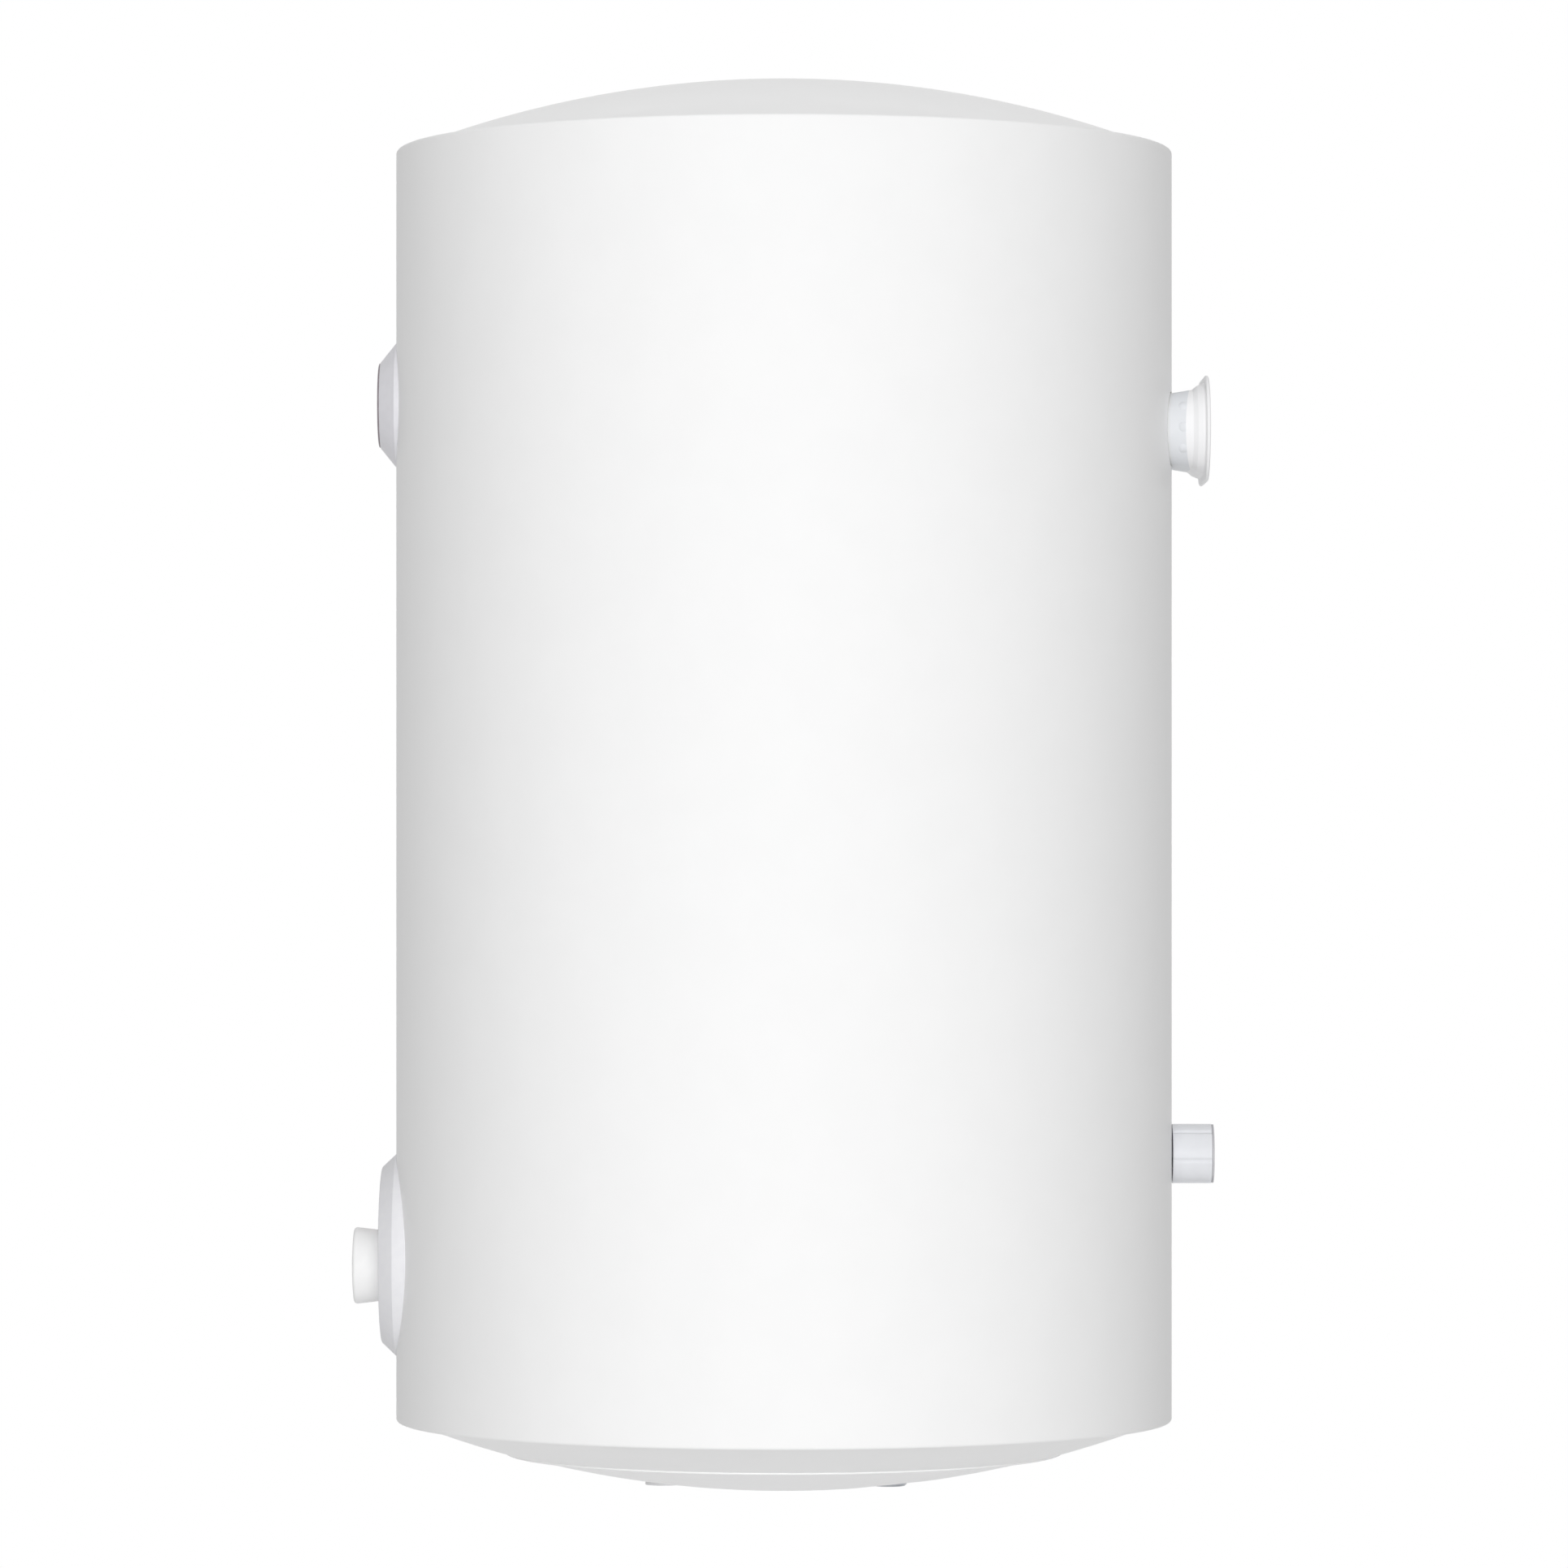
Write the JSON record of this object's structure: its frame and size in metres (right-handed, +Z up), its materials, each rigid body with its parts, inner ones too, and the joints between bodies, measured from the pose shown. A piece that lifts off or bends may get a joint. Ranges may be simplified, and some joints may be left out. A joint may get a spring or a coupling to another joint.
{
  "type": "tank water heater",
  "caption": "Wall-hung round electric storage water heater with domed ends, dial thermometer, service cover with control knob, hanging bracket and adjustable wall spacer.",
  "frame": {"origin": "middle of the two slots of the hanging bracket, in the bracket's back face", "axes": "+Z up along the tank, +Y out of the bracket's back face into the wall, -Y to the front with the knob and the thermometer, +X to the right seen from the front"},
  "size_m": [0.4499, 0.5001, 0.8152],
  "materials": {
    "white_enamel": "gloss",
    "end_cover_enamel": "satin",
    "white_plastic": "satin",
    "foam": "matte",
    "tank_enamel": "gloss",
    "zinc_steel": "satin",
    "stainless_steel": "satin",
    "galvanised_steel": "satin",
    "blue_plastic": "satin",
    "red_plastic": "satin",
    "natural_plastic": "satin",
    "dark_plastic": "matte",
    "grey_conduit": "matte",
    "black_rubber": "matte",
    "copper": "satin",
    "ceramic_bead": "satin",
    "magnesium": "matte",
    "ivory_plastic": "satin",
    "brass_parts": "satin",
    "brown_wire": "satin",
    "blue_wire": "satin",
    "green_wire": "satin",
    "grey_plastic": "satin",
    "knob_plastic": "satin",
    "lamp_glass": "gloss",
    "red_lens": "gloss",
    "bezel_plastic": "gloss",
    "clear_lens": "gloss",
    "dial_paint": "matte",
    "pointer_paint": "satin",
    "bimetal": "satin",
    "bracket_enamel": "gloss",
    "spacer_plastic": "gloss",
    "grey_rubber": "matte"
  },
  "bodies": {
    "heater": {"casing": "white_enamel", "top_cover": "end_cover_enamel", "bottom_cover": "end_cover_enamel", "bottom_cap": "white_plastic", "bottom_cap_screws": "zinc_steel", "insulation_foam": "foam", "inner_tank": "tank_enamel", "cold_inlet_stub": "zinc_steel", "hot_outlet_stub": "zinc_steel", "cold_ring": "blue_plastic", "hot_ring": "red_plastic", "cold_diffuser": "natural_plastic", "hot_standpipe": "stainless_steel", "cable_gland": "dark_plastic", "cable_conduit": "grey_conduit", "flange_seat": "tank_enamel", "flange_studs": "zinc_steel", "flange_gasket": "black_rubber", "heater_flange": "stainless_steel", "heating_element": "copper", "element_terminals": "ceramic_bead", "sensor_pocket": "copper", "sensor_capillary": "copper", "anode_rod": "magnesium", "anode_nut": "zinc_steel", "flange_nuts": "zinc_steel", "component_plate": "galvanised_steel", "thermostat_body": "ivory_plastic", "thermostat_screws": "zinc_steel", "terminal_block": "ivory_plastic", "terminal_screws": "brass_parts", "live_wires": "brown_wire", "neutral_wires": "blue_wire", "earth_wire": "green_wire", "service_well": "grey_plastic", "service_cover": "grey_plastic", "cover_screws": "zinc_steel", "pilot_lamp": "lamp_glass", "pilot_lens": "red_lens", "thermometer_bezel": "bezel_plastic", "thermometer_lens": "clear_lens", "thermometer_case": "zinc_steel", "thermometer_dial": "dial_paint", "bimetal_spiral": "bimetal", "thermometer_stem": "copper", "thermometer_pocket": "tank_enamel", "bracket_saddle": "tank_enamel", "bracket_neck": "galvanised_steel", "wall_bracket": "bracket_enamel", "spacer_boss": "tank_enamel", "spacer_stud": "zinc_steel"},
    "knob": {"control_knob": "knob_plastic", "thermostat_spindle": "zinc_steel"},
    "pointer": {"thermometer_pointer": "pointer_paint", "pointer_spindle": "brass_parts"},
    "reset": {"reset_button": "red_plastic"},
    "spacer_foot": {"spacer_pad": "grey_rubber"},
    "spacer_screw": {"spacer_sleeve": "spacer_plastic"}
  },
  "joints": [
    {"name": "knob_turn", "type": "hinge", "parent": "heater", "child": "knob", "pos_m": [0, -0.4853, -0.4847], "axis": [0, 1, 0], "range_deg": [0, 270]},
    {"name": "pointer_turn", "type": "hinge", "parent": "heater", "child": "pointer", "pos_m": [0, -0.474, 0.0149], "axis": [0, 1, 0], "range_deg": [-60, 180], "stiffness_Nm_per_rad": 0.002},
    {"name": "reset_press", "type": "slide", "parent": "heater", "child": "reset", "axis": [0, 1, 0], "range_m": [0, 0.0015], "stiffness_N_per_m": 800},
    {"name": "spacer_slide", "type": "slide", "parent": "heater", "child": "spacer_foot", "axis": [0, 1, 0], "range_m": [0, 0.008]},
    {"name": "spacer_turn", "type": "hinge", "parent": "spacer_foot", "child": "spacer_screw", "pos_m": [0, -0.01, -0.4197], "axis": [0, 1, 0], "range_deg": [0, 1442]}
  ],
  "couplings": [
    {"joint": "spacer_turn", "follows": "spacer_slide", "rad_per_m": 3141.6}
  ]
}
